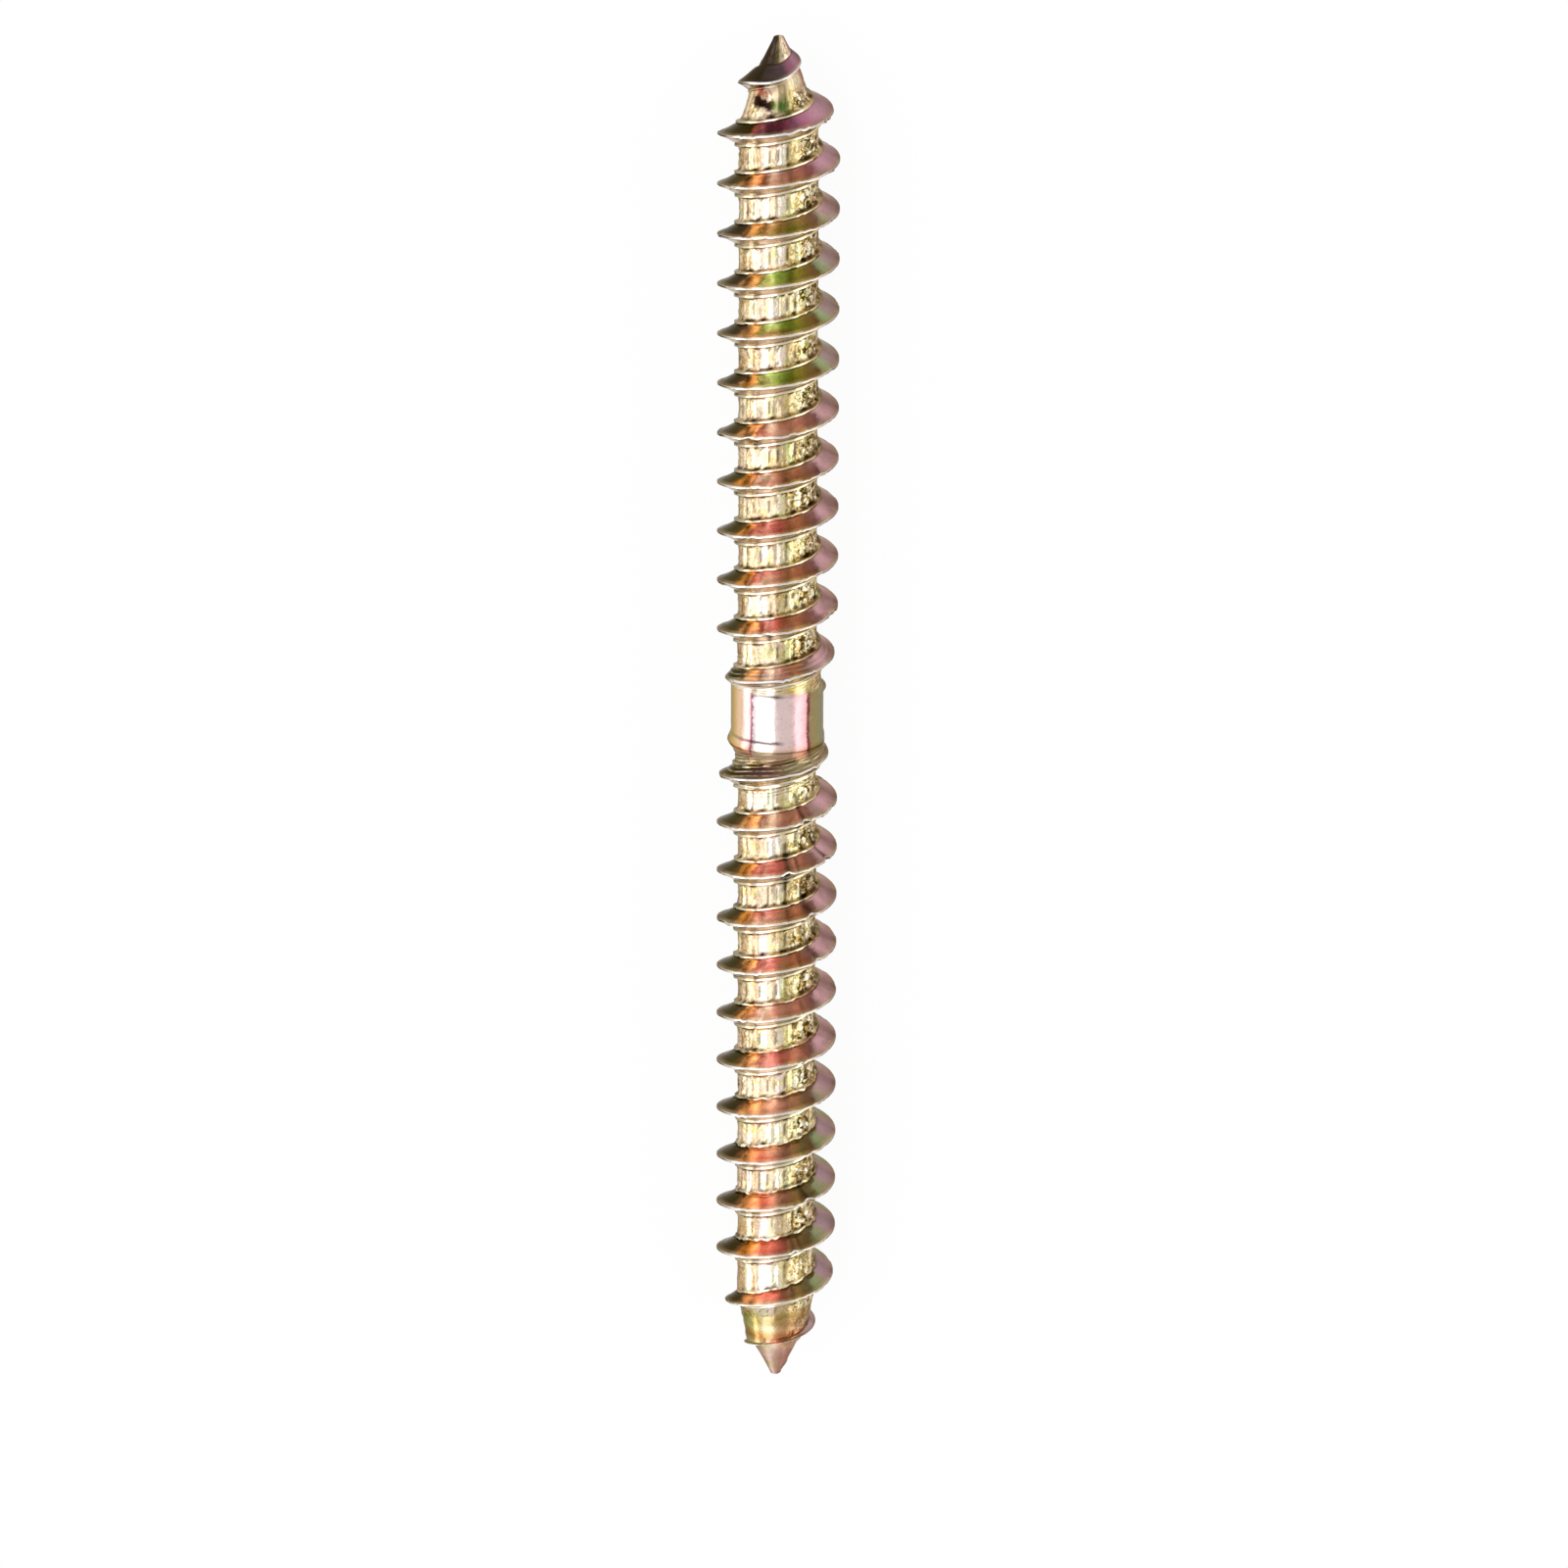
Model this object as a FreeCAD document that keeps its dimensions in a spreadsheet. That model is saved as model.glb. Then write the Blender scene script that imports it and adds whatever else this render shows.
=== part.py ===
import FreeCAD, Part
import math
import os
import Sketcher

# Dowel screw: a double-ended wood screw, one solid turned along X.
# Mid-length is at X = 0 on the axis, and the part lies on its thread crests.

doc = FreeCAD.newDocument("dowel_screw")

# Sizes in mm and degrees, one row each
SIZES = [
    ("overall_length", 70.0, "tip to tip"),
    ("crest_dia", 6.0, "over the thread crests"),
    ("root_dia", 3.9, "between the threads"),
    ("thread_pitch", 2.53, "crest to crest along the axis, both ends"),
    ("thread_phase", -0.245, "crest position along X on the +Y side nearest mid-length"),
    ("crest_flat", 0.08, "width of the rolled crest"),
    ("flank_angle", 32.0, "each flank from the plane across the axis"),
    ("tip_dia", 0.42, "blunt end of the point"),
    ("nose_dia", 2.2, "where the steep nose meets the long taper"),
    ("nose_length", 1.8, "steep nose of the point"),
    ("point_length", 4.5, "tip to the full root"),
    ("crest_taper_right", 5.0, "tip to the full crest, +X end"),
    ("crest_taper_left", 6.5, "tip to the full crest, -X end"),
    ("taper_power", 1.7, "roundness of the crest line over the point"),
    ("start_rise", 0.12, "least height of the ridge at the tip"),
    ("tip_plain", 0.5, "least length of the tip ahead of the ridge"),
    ("collar_dia", 4.6, "plain collar at mid-length"),
    ("collar_half", 1.3, "mid-length to the rim of the collar"),
    ("rim_dia", 4.86, "over the rolled rims of the collar"),
    ("rim_width", 0.55, "collar to the top of a rim"),
    ("neck_half", 2.6, "mid-length to the foot of the collar's slope, sunk in the shank"),
    ("collar_sink", 0.2, "depth of that foot under the root"),
    ("runout_dia", 4.2, "over the crest at mid-length, under the collar"),
    ("runout_length", 4.6, "mid-length to the full crest"),
    ("runout_power", 1.5, "roundness of the run-out"),
]

sheet = doc.addObject("Spreadsheet::Sheet", "sizes")
for row, (name, value, note) in enumerate(SIZES, start=1):
    sheet.set(f"A{row}", name)
    sheet.set(f"B{row}", str(value))
    sheet.set(f"C{row}", note)
    sheet.setAlias(f"B{row}", name)
doc.recompute()


def size(name):
    return float(sheet.get(name))


# Collar: turned about X, its slopes ending under the surface of the shank
body = doc.addObject("PartDesign::Body", "collar")
body.Label = "collar"
plane = [f for f in body.Origin.OriginFeatures if f.Role == "XY_Plane"][0]
sketch = body.newObject("Sketcher::SketchObject", "collar_profile")
sketch.AttachmentSupport = [(plane, "")]
sketch.MapMode = "FlatFace"

# Its outline from mid-length outwards: distance from mid-length, and radius
collar_outline = [
    ("sizes.collar_half", "sizes.collar_dia / 2"),
    ("sizes.collar_half + sizes.rim_width", "sizes.rim_dia / 2"),
    ("sizes.neck_half", "sizes.root_dia / 2 - sizes.collar_sink"),
    ("sizes.neck_half", None),
]
collar_start = [(1.0, 2.0), (2.0, 2.5), (3.0, 1.5), (3.0, 0.0)]
left = [(-1, text, start) for text, start in zip(collar_outline, collar_start)][::-1]
right = [(1, text, start) for text, start in zip(collar_outline, collar_start)]
corners = left + right
for i, (side, text, start) in enumerate(corners):
    side_next, text_next, start_next = corners[(i + 1) % len(corners)]
    here = FreeCAD.Vector(side * start[0], start[1], 0)
    there = FreeCAD.Vector(side_next * start_next[0], start_next[1], 0)
    sketch.addGeometry(Part.LineSegment(here, there), False)
for i in range(len(corners)):
    sketch.addConstraint(Sketcher.Constraint("Coincident", i, 2, (i + 1) % len(corners), 1))
for i, (side, text, start) in enumerate(corners):
    if side < 0:
        along = Sketcher.Constraint("DistanceX", i, 1, -1, 1, start[0])
    else:
        along = Sketcher.Constraint("DistanceX", -1, 1, i, 1, start[0])
    sketch.setExpression(f"Constraints[{sketch.addConstraint(along)}]", text[0])
    if text[1] is None:
        sketch.addConstraint(Sketcher.Constraint("PointOnObject", i, 1, -1))
    else:
        out = Sketcher.Constraint("DistanceY", -1, 1, i, 1, start[1])
        sketch.setExpression(f"Constraints[{sketch.addConstraint(out)}]", text[1])
turned = body.newObject("PartDesign::Revolution", "collar_turned")
turned.Profile = sketch
turned.ReferenceAxis = (sketch, ["H_Axis"])
turned.Angle = 360.0
doc.recompute()

# Shank with its threads: one right-hand helix from tip to tip, low under the collar and on both points.
# Its heights change along the way, so its faces are laid between curves through computed points.
STEPS_PER_TURN = 8


def core_radius(x):
    far = size("overall_length") / 2 - abs(x)
    if far >= size("point_length"):
        return size("root_dia") / 2
    if far >= size("nose_length"):
        share = (far - size("nose_length")) / (size("point_length") - size("nose_length"))
        return (size("nose_dia") + share * (size("root_dia") - size("nose_dia"))) / 2
    share = far / size("nose_length")
    return (size("tip_dia") + share * (size("nose_dia") - size("tip_dia"))) / 2


def crest_radius(x):
    full = size("crest_dia") / 2
    far = size("overall_length") / 2 - abs(x)
    taper = size("crest_taper_right") if x > 0 else size("crest_taper_left")
    radius = full
    if far < taper:
        radius = full * (1 - (1 - far / taper) ** size("taper_power"))
    near = size("runout_length") - abs(x)
    if near > 0:
        drop = full - size("runout_dia") / 2
        radius = min(radius, full - drop * (near / size("runout_length")) ** size("runout_power"))
    return max(radius, core_radius(x) + size("start_rise"))


def ridge_section(x):
    crest = crest_radius(x)
    half_flat = size("crest_flat") / 2
    half_foot = half_flat + (crest - core_radius(x)) * math.tan(math.radians(size("flank_angle")))
    return [
        (-half_foot, core_radius(x - half_foot)),
        (-half_flat, crest),
        (half_flat, crest),
        (half_foot, core_radius(x + half_foot)),
    ]


def on_helix(x, along, radius):
    angle = 2 * math.pi * (x - size("thread_phase")) / size("thread_pitch")
    return FreeCAD.Vector(along, radius * math.cos(angle), radius * math.sin(angle))


def curve_through(points):
    curve = Part.BSplineCurve()
    curve.interpolate(Points=points, Parameters=[i / STEPS_PER_TURN for i in range(len(points))])
    return curve


def one_turn(curve, turn):
    piece = curve.copy()
    piece.segment(turn, turn + 1)
    return piece


def mean_radius(curve):
    poles = curve.getPoles()
    return sum(math.hypot(pole.y, pole.z) for pole in poles) / len(poles)


# A face with straight lines across it from one curve to the next. Its weights keep those lines evenly spaced.
def strip(first, second):
    surface = Part.BSplineSurface()
    poles = [list(pair) for pair in zip(first.getPoles(), second.getPoles())]
    weights = [[mean_radius(second), mean_radius(first)] for pair in poles]
    surface.buildFromPolesMultsKnots(
        poles, first.getMultiplicities(), (2, 2), range(len(first.getKnots())), (0, 1),
        False, False, first.Degree, 1, weights
    )
    return surface.toShape()


pitch = size("thread_pitch")
turns = math.floor((size("overall_length") - 2 * size("tip_plain")) / pitch)
begin = -turns * pitch / 2
stations = [begin + pitch * i / STEPS_PER_TURN for i in range(turns * STEPS_PER_TURN + 1)]
rows = [[on_helix(x, x + offset, radius) for offset, radius in ridge_section(x)] for x in stations]
curves = [curve_through([row[k] for row in rows]) for k in range(len(rows[0]))]
rails = [[one_turn(curve, turn) for turn in range(turns)] for curve in curves]
faces = []
for turn in range(turns):
    for first, second in zip(rails, rails[1:]):
        faces.append(strip(first[turn], second[turn]))
    if turn + 1 < turns:
        faces.append(strip(rails[-1][turn], rails[0][turn + 1]))

# Both tips: a cone out to the blunt end, the end itself, and the face where the ridge starts
half_length = size("overall_length") / 2
for side, row, edge, x_start in ((-1, rows[0], rails[0][0], begin), (1, rows[-1], rails[-1][-1], -begin - pitch)):
    around = [x_start + pitch * i / STEPS_PER_TURN for i in range(STEPS_PER_TURN + 1)]
    rim = curve_through([on_helix(x, side * half_length, size("tip_dia") / 2) for x in around])
    faces.append(strip(edge, rim))
    faces.append(Part.Face(Part.Wire([rim.toShape()])))
    if side < 0:
        outline = [rim.StartPoint] + row + [edge.EndPoint]
    else:
        outline = [rim.StartPoint] + row[::-1] + [edge.StartPoint]
    faces.append(Part.Face(Part.makePolygon(outline + outline[:1])))

skin = Part.makeCompound(faces)
skin.sewShape()
solid = Part.makeSolid(skin.Shells[0])
if solid.Volume < 0:
    solid.reverse()
shank = doc.addObject("Part::Feature", "threaded_shank")
shank.Label = "threaded_shank"
shank.Shape = solid

# The screw: shank and collar in one solid
screw = doc.addObject("Part::Fuse", "dowel_screw")
screw.Label = "dowel_screw"
screw.Base = shank
screw.Tool = body
doc.recompute()

for item in doc.Objects:
    if "Invalid" in item.State or "Error" in item.State:
        raise RuntimeError(f"{item.Label} did not build: {item.State}")
if screw.Shape.isNull() or not screw.Shape.isValid() or len(screw.Shape.Solids) != 1:
    raise RuntimeError("dowel_screw is not one valid solid")

os.makedirs("parts", exist_ok=True)
screw.Shape.exportStep("parts/dowel_screw.step")
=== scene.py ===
import math

import bpy
from mathutils import Matrix, Vector, noise


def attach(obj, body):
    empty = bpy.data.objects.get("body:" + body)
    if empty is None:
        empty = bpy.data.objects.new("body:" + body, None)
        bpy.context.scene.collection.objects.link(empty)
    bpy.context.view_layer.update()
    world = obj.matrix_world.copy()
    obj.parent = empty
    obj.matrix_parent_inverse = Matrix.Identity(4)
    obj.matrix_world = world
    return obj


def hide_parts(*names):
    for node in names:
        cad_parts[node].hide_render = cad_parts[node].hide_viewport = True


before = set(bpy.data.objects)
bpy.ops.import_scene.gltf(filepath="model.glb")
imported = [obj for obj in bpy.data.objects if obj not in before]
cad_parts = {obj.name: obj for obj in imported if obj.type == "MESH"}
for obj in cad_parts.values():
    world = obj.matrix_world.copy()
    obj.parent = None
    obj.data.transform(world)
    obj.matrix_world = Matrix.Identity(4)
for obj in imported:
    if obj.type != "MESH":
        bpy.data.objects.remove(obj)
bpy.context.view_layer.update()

# Dowel screw: one piece of low-carbon steel wire, pointed and thread-rolled at both ends, then zinc plated
# and passivated yellow. The rolling dies press the thread out of a plain blank, which stays as it was only
# at the collar in the middle, and they leave coarse bars along the root and torn burrs on the crest.
# The axis lies along X, and its sizes are in mm.
MM = 0.001
FULL_TURN = 2 * math.pi
PITCH = 2.53
HALF_PITCH = PITCH / 2
HALF_LENGTH = 35.0
CREST_R = 3.0
ROOT_R = 1.95
# Where the crest of turn 0 crosses the +Y side
PHASE = -0.245
# The dies leave 28 bars along the root in each turn, and each bar gets four steps of the sweep
BARS = 28
BAR_STEPS = 4
STEPS = BARS * BAR_STEPS
TURNS = 30
TURNS_BELOW = 16
# Points nearer than this are made one
MERGE_WITHIN = 0.002

# Half of one thread: distance along X from the middle of the crest, and radius, down the flank, over the
# raised foot and out to the middle of the root
HALF_THREAD = [
    (0.0, 2.95), (0.035, 3.0), (0.08, 2.92), (0.17, 2.7), (0.28, 2.48), (0.39, 2.3), (0.46, 2.18),
    (0.51, 2.12), (0.555, 2.17), (0.645, 2.165), (0.69, 2.03), (0.745, 1.955), (0.88, 1.94), (1.01, 1.935),
    (1.14, 1.93), (HALF_PITCH, 1.93),
]
WHOLE_THREAD = HALF_THREAD + [(PITCH - s, r) for s, r in HALF_THREAD[-2::-1]]
# Places in that list: the crest's lip and its underside, the flank, its crease, the raised foot and the land
LIP, UNDER, FLANK_TOP = 1, 2, 3
CREASE, FOOT, FOOT_END, LAND = 7, 8, 10, 11
RIDGE_FOOT = HALF_THREAD[LAND][0]

# One thread is drawn as a line above the axis, from a small plane merged to a point, and swept along the
# helix
bpy.ops.object.select_all(action="DESELECT")
first_crest = PHASE + PITCH / 4 - TURNS_BELOW * PITCH
bpy.ops.mesh.primitive_plane_add(size=0.1 * MM, location=(first_crest * MM, 0, HALF_THREAD[0][1] * MM))
screw = bpy.context.object
screw.name = "screw"
bpy.ops.object.transform_apply(location=True, rotation=True, scale=True)
bpy.ops.object.mode_set(mode="EDIT")
bpy.ops.mesh.select_all(action="SELECT")
bpy.ops.mesh.merge(type="CENTER")
for (s, r), (s_next, r_next) in zip(WHOLE_THREAD, WHOLE_THREAD[1:]):
    onward = ((s_next - s) * MM, 0, (r_next - r) * MM)
    bpy.ops.mesh.extrude_vertices_move(TRANSFORM_OT_translate={"value": onward})
bpy.ops.object.mode_set(mode="OBJECT")
sweep = screw.modifiers.new("sweep", "SCREW")
sweep.axis = "X"
sweep.angle = FULL_TURN
sweep.screw_offset = PITCH * MM
sweep.steps = STEPS
sweep.render_steps = STEPS
sweep.iterations = TURNS
bpy.ops.object.modifier_apply(modifier="sweep")
bpy.ops.object.mode_set(mode="EDIT")
bpy.ops.mesh.select_all(action="SELECT")
bpy.ops.mesh.remove_doubles(threshold=MERGE_WITHIN * MM)
bpy.ops.object.mode_set(mode="OBJECT")


def between(a, b, value):
    return min(1.0, max(0.0, (value - a) / (b - a)))


def smooth(a, b, value):
    share = between(a, b, value)
    return share * share * (3 - 2 * share)


def hump(middle, width, value):
    return math.exp(-((value - middle) / width) ** 2)


# The nose is a cone, and above it the root opens to its full size. At the -X end the metal pushed ahead of
# the dies fills the root down to the last ridge.
TIP_R = 0.21
NOSE_R = 1.1
NOSE_LENGTH = 1.8
POINT_LENGTH = 4.5
FILLED_R = 1.47
FILLED_CURVE = 1.3
LAST_TURN = -13
FILLED_TURNS = (LAST_TURN - 0.3, LAST_TURN + 0.05)


def core_radius(x, filled):
    far = HALF_LENGTH - abs(x)
    nose = min(ROOT_R, TIP_R + (NOSE_R - TIP_R) * max(0, far) / NOSE_LENGTH)
    if x < 0:
        full = FILLED_R + (ROOT_R - FILLED_R) * between(NOSE_LENGTH, POINT_LENGTH, far) ** FILLED_CURVE
        return nose + filled * (full - nose)
    if far < NOSE_LENGTH:
        return nose
    return NOSE_R + (ROOT_R - NOSE_R) * between(NOSE_LENGTH, POINT_LENGTH, far)


# The crest falls towards each tip in a curve, and stands a little over the cone until just before its end
TAPER_HIGH = 5.0
TAPER_LOW = 6.5
TAPER_CURVE = 1.7
LEAST_RIDGE = 0.12
RIDGE_STARTS = (0.3, 0.9)
FILL_STARTS = (1.4, 1.8)


def crest_radius(x):
    far = HALF_LENGTH - abs(x)
    taper = TAPER_HIGH if x > 0 else TAPER_LOW
    full = CREST_R * (1 - (1 - between(0, taper, far)) ** TAPER_CURVE)
    least = core_radius(x, smooth(*FILL_STARTS, far)) + LEAST_RIDGE * smooth(*RIDGE_STARTS, far)
    return max(full, least)


# How deep the dies have pressed, from 0 on the plain collar to 1: the crest comes up before the root goes
# down, and both start at the collar's rims. The ranges are distances from X = 0.
COLLAR_R = 2.3
COLLAR_MIDDLE = 0.5
COLLAR_HIGH = 1.95
HIGH_RIM = (COLLAR_HIGH - 0.05, COLLAR_HIGH + 0.25)
LOW_RIM = (0.95, 0.95 + 0.75)
RIDGE_RISES_HIGH = (1.0, 4.4)
RIDGE_RISES_LOW = (0.5, 3.3)
RIDGE_CURVE = 0.9
GROOVE_SINKS_HIGH = (0.75, 4.3)
GROOVE_SINKS_LOW = (0.5, 2.3)
RUN_OUT_REACH = 7


def off_collar(x):
    return smooth(*HIGH_RIM, x) if x > COLLAR_MIDDLE else smooth(*LOW_RIM, -x)


def ridge_depth(x):
    return between(*(RIDGE_RISES_HIGH if x > 0 else RIDGE_RISES_LOW), abs(x)) ** RIDGE_CURVE


def groove_depth(x):
    return smooth(*(GROOVE_SINKS_HIGH if x > 0 else GROOVE_SINKS_LOW), abs(x))


# Unevenness of the rolled skin: a noise with grains of the given size in mm, and a seed that keeps uses apart
def grain(x, angle, size, seed):
    place = Vector((x / size, 3 * math.cos(angle) / size, 3 * math.sin(angle) / size + seed))
    return noise.noise(place)


# The flaws of this one screw: nicks and cracks in the crest (turn, degrees round the axis, half width in
# degrees, depth), the sag of the last crest at each end (depth, turn, half width in turns), and a hollow
# under the first ridge of the +X point (middle and half width, along X and in degrees round the axis). That
# ridge's upper flank reaches far up the cone and has no foot.
NICKS = (
    (2, 80, 3, 0.14), (-2, 120, 2.5, 0.3), (-3, 150, 2.5, 0.3), (-3, 102, 4, 0.25), (-4, 128, 4, 0.2),
    (-5, 136, 3, 0.2), (6, 60, 3, 0.12), (-10, 125, 4, 0.25), (-11, 110, 3, 0.2), (9, 230, 4, 0.2),
    (4, 300, 3, 0.2), (-7, 260, 4, 0.25),
)
NICK_PUSH = 0.25
SAGS = ((0.38, LAST_TURN + 0.7, 0.6), (0.2, 13.25, 0.13))
HOLLOW_ALONG = (32.05, 0.42)
HOLLOW_ROUND = (55, 20)
HOLLOW_DEPTH = 0.25
FAR_UP = (31.8, 32.8)
FAR_UP_REACH = 1.6

# The raised foot grows with its ridge, and is half as high towards the -X end
FOOT_RISES = (0.3, 0.9)
FOOT_LOWERS = (-12, -22)
FOOT_LOWERED = 0.5

# Beside the collar the half-pressed thread has fine steps. The collar's lower part is a little wider, with a
# rolled ring at its rim, and over the upper rim is a bead where the groove has opened. A place is a middle
# and a half width along X, and a range says where something starts and where it is full.
YOUNG_STEP = 0.03
YOUNG_STARTS = (0.06, 0.2)
YOUNG_ENDS = (4.2, 3.0)
YOUNG_HIGH = 0.6
RIM_RISE = 0.05
RIM_STARTS = (0.4, 0.6)
RING_RISE = 0.13
RING_PLACE = (-0.92, 0.2)
BEAD_RISE = 0.14
BEAD_PLACE = (1.84, 0.14)
BEAD_FROM = (110, 160)
BEAD_TO = (330, 250)

# How far the bars and pits of the root, the ragged foot and the torn crest stand out. The pits and the burrs
# are strongest on the -Y side over the top, between these degrees round the axis.
BAR_SHAPE = (-0.5, 0.8, 0.6, -0.9)
BAR_RISE = 0.03
BARS_START = (-31.6, -31.0)
PIT_DEPTH = 0.05
PITS_FROM = (104, 122)
PITS_TO = (168, 150)
NOSE_RING_RISE = 0.035
NOSE_RING_STEP = 0.6
NOSE_RINGS_START = (-33.4, -33.0)
ROOT_GRAIN = 0.03
FOOT_GRAIN = 0.03
FOOT_RAGGED = 0.1
FOOT_RAGGED_FROM = (-10, -20)
FLANK_GRAIN = 0.01
CREST_WAVE = 0.05
CREST_BURR = 0.02
CREST_TEAR = 0.05
TORN_FROM = (95, 115)
TORN_TO = (170, 150)
LEAST_SHARE = 0.02
LEAST_R = 0.05

# How much each place of the half thread shows of a zone of the finish
RIDGE_SHOWS = (0.12, 0.35)
LAND_ENDS = (33.0, 32.4)
FLANK_SHOWS = {UNDER: 0.6, FLANK_TOP: 1.0, 4: 1.0, 5: 1.0, 6: 1.0, CREASE: 1.0}
FOOT_SHOWS = {CREASE: 0.4, FOOT: 1.0, FOOT + 1: 1.0, FOOT_END: 0.5}
CREST_SHOWS = {0: 1.0, LIP: 1.0, UNDER: 0.2}
# Painted shade: how dark the lines under the crest, at the flank's top and in its crease are
DOWN_SHADE_LINES = {UNDER: 0.5, FLANK_TOP: 0.1, CREASE: 0.45}
UP_SHADE_LINES = {UNDER: 0.25, FLANK_TOP: 0.1, CREASE: 0.45}

# Every point of the sweep is put in its real place, and keeps what the finish needs to know of it
NAMES = ("up", "down", "foot", "crest", "line", "collar", "tone", "land", "out", "young")
marks = {name: [] for name in NAMES}
mesh = screw.data
for vertex in mesh.vertices:
    x, y, z = (value / MM for value in vertex.co)
    near_run_out = abs(x) < RUN_OUT_REACH
    angle = math.atan2(z, y) % FULL_TURN
    degrees = math.degrees(angle)
    part_turn = angle / FULL_TURN
    step = round(part_turn * STEPS) % STEPS
    bar = step // BAR_STEPS

    # Its turn, its place in the half thread, and whether it is on the side of its crest that faces -X (down)
    along = (x - PHASE) / PITCH - part_turn
    turn = math.floor(along + 1e-4)
    s = (along - turn) * PITCH
    place = min(range(len(WHOLE_THREAD)), key=lambda k: abs(WHOLE_THREAD[k][0] - s))
    if place == len(WHOLE_THREAD) - 1:
        place = 0
        turn += 1
    faces_down = place >= len(HALF_THREAD)
    index = len(WHOLE_THREAD) - 1 - place if faces_down else place
    side = -1 if faces_down else 1
    crest_turn = turn + 1 if faces_down else turn
    helix_place = crest_turn + part_turn
    centre = PHASE + PITCH * helix_place
    middle = PHASE + PITCH * (turn + part_turn) + HALF_PITCH

    # The points: the ridge keeps its slope as its height falls, and loses its raised foot
    out, level = HALF_THREAD[index]
    filled = smooth(*FILLED_TURNS, turn + part_turn)
    height = crest_radius(centre) - core_radius(centre, filled)
    share = max(LEAST_SHARE, min(1.0, height / (CREST_R - ROOT_R)))
    far_up = smooth(*FAR_UP, centre) * (side > 0)
    if CREASE <= index <= FOOT_END:
        foot_level = smooth(*FOOT_RISES, share) * (1 - FOOT_LOWERED * smooth(*FOOT_LOWERS, x)) * (1 - far_up)
        level = ROOT_R + (level - ROOT_R) * foot_level
    reach = share * (1 + FAR_UP_REACH * far_up)
    if index <= LAND:
        out_here = out * reach
    else:
        foot_here = reach * RIDGE_FOOT
        out_here = foot_here + (out - RIDGE_FOOT) / (HALF_PITCH - RIDGE_FOOT) * (HALF_PITCH - foot_here)
    x = centre + side * out_here
    radius = core_radius(x, filled) + (level - ROOT_R) * share
    sag = sum(depth * hump(at, width, helix_place) for depth, at, width in SAGS)
    x -= sag * (1 - out_here / HALF_PITCH)

    # The run-outs, where ridge and groove fade into the plain collar
    rolled = share
    plain = 0.0
    young = 0.0
    if near_run_out:
        opened = off_collar(x)
        ridge_in = ridge_depth(centre) * opened
        groove_in = groove_depth(middle) * opened
        rolled = groove_in
        plain = 1 - opened
        press = ridge_in if level > COLLAR_R else groove_in
        radius = COLLAR_R + press * (level - COLLAR_R)
        young = opened * (1 - ridge_in) ** 0.4 * between(*YOUNG_STARTS, out) * between(*YOUNG_ENDS, abs(x))
        if x > 0:
            young *= YOUNG_HIGH
        radius += (YOUNG_STEP if index % 2 else -YOUNG_STEP) * young * (1 + grain(x, angle, 0.7, 3.0))
        rim = RIM_RISE * smooth(*RIM_STARTS, -x) * (1 - opened)
        ring = RING_RISE * hump(*RING_PLACE, x) * (0.55 + 0.45 * math.cos(angle))
        bead = BEAD_RISE * hump(*BEAD_PLACE, x) * smooth(*BEAD_FROM, degrees) * smooth(*BEAD_TO, degrees)
        radius += rim + ring + bead

    # What the dies leave on the surface: bars and pits along the root, a wavy foot, a torn crest
    tone = noise.cell(Vector((bar * 1.31, turn * 2.17, 0.5)))
    barred = smooth(*BARS_START, x)
    if index >= LAND:
        gritty = 0.3 + 0.7 * smooth(*PITS_FROM, degrees) * smooth(*PITS_TO, degrees)
        gritty += 0.5 * smooth(0.2, 0.5, grain(x, angle, 3.1, 51.0))
        fine = noise.cell(Vector((step * 1.7, (turn * 16 + index) * 1.3, side * 3.0))) - 0.5
        wave = BAR_RISE * barred * BAR_SHAPE[step % BAR_STEPS] * (0.3 + tone)
        radius += rolled * (wave + PIT_DEPTH * gritty * fine)
        nose_ring = NOSE_RING_RISE * (1 - barred) * smooth(*NOSE_RINGS_START, x)
        radius += nose_ring * math.sin(FULL_TURN * x / NOSE_RING_STEP)
        radius += rolled * ROOT_GRAIN * grain(x, angle, 0.4, 5.0)
    elif index >= CREASE:
        ragged_low = smooth(*FOOT_RAGGED_FROM, x) * (side > 0)
        coarse = FOOT_RAGGED * ragged_low * grain(x, angle, 0.35, 11.0)
        radius += rolled * (FOOT_GRAIN * grain(x, angle, 0.55, 9.0) + coarse)
        x += rolled * (0.02 + 0.08 * ragged_low) * grain(x, angle, 0.5, 14.0)
    elif index >= FLANK_TOP:
        radius += share * FLANK_GRAIN * grain(x, angle, 0.8, 21.0)
    else:
        torn = 0.25 + 0.6 * smooth(*TORN_FROM, degrees) * smooth(*TORN_TO, degrees)
        torn += 1.4 * smooth(0.15, 0.4, grain(x, angle, 1.6, 31.0))
        ragged = noise.cell(Vector((step * 1.9, crest_turn * 2.3, 7.0))) - 0.5
        x += share * torn * (CREST_WAVE * grain(x, angle, 0.9, 33.0) + CREST_BURR * ragged)
        radius -= share * torn * CREST_TEAR * max(0, ragged)
    nick = sum(depth * hump(at, width, degrees) for on, at, width, depth in NICKS if on == crest_turn)
    if nick and index < CREASE:
        radius -= nick * between(CREASE, 0, index) ** 0.5
        x += NICK_PUSH * nick
    hollow = hump(*HOLLOW_ALONG, x) * hump(*HOLLOW_ROUND, degrees)
    radius -= HOLLOW_DEPTH * hollow
    radius = max(LEAST_R, min(radius, CREST_R))
    vertex.co = Vector((x, radius * math.cos(angle), radius * math.sin(angle))) * MM
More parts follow.
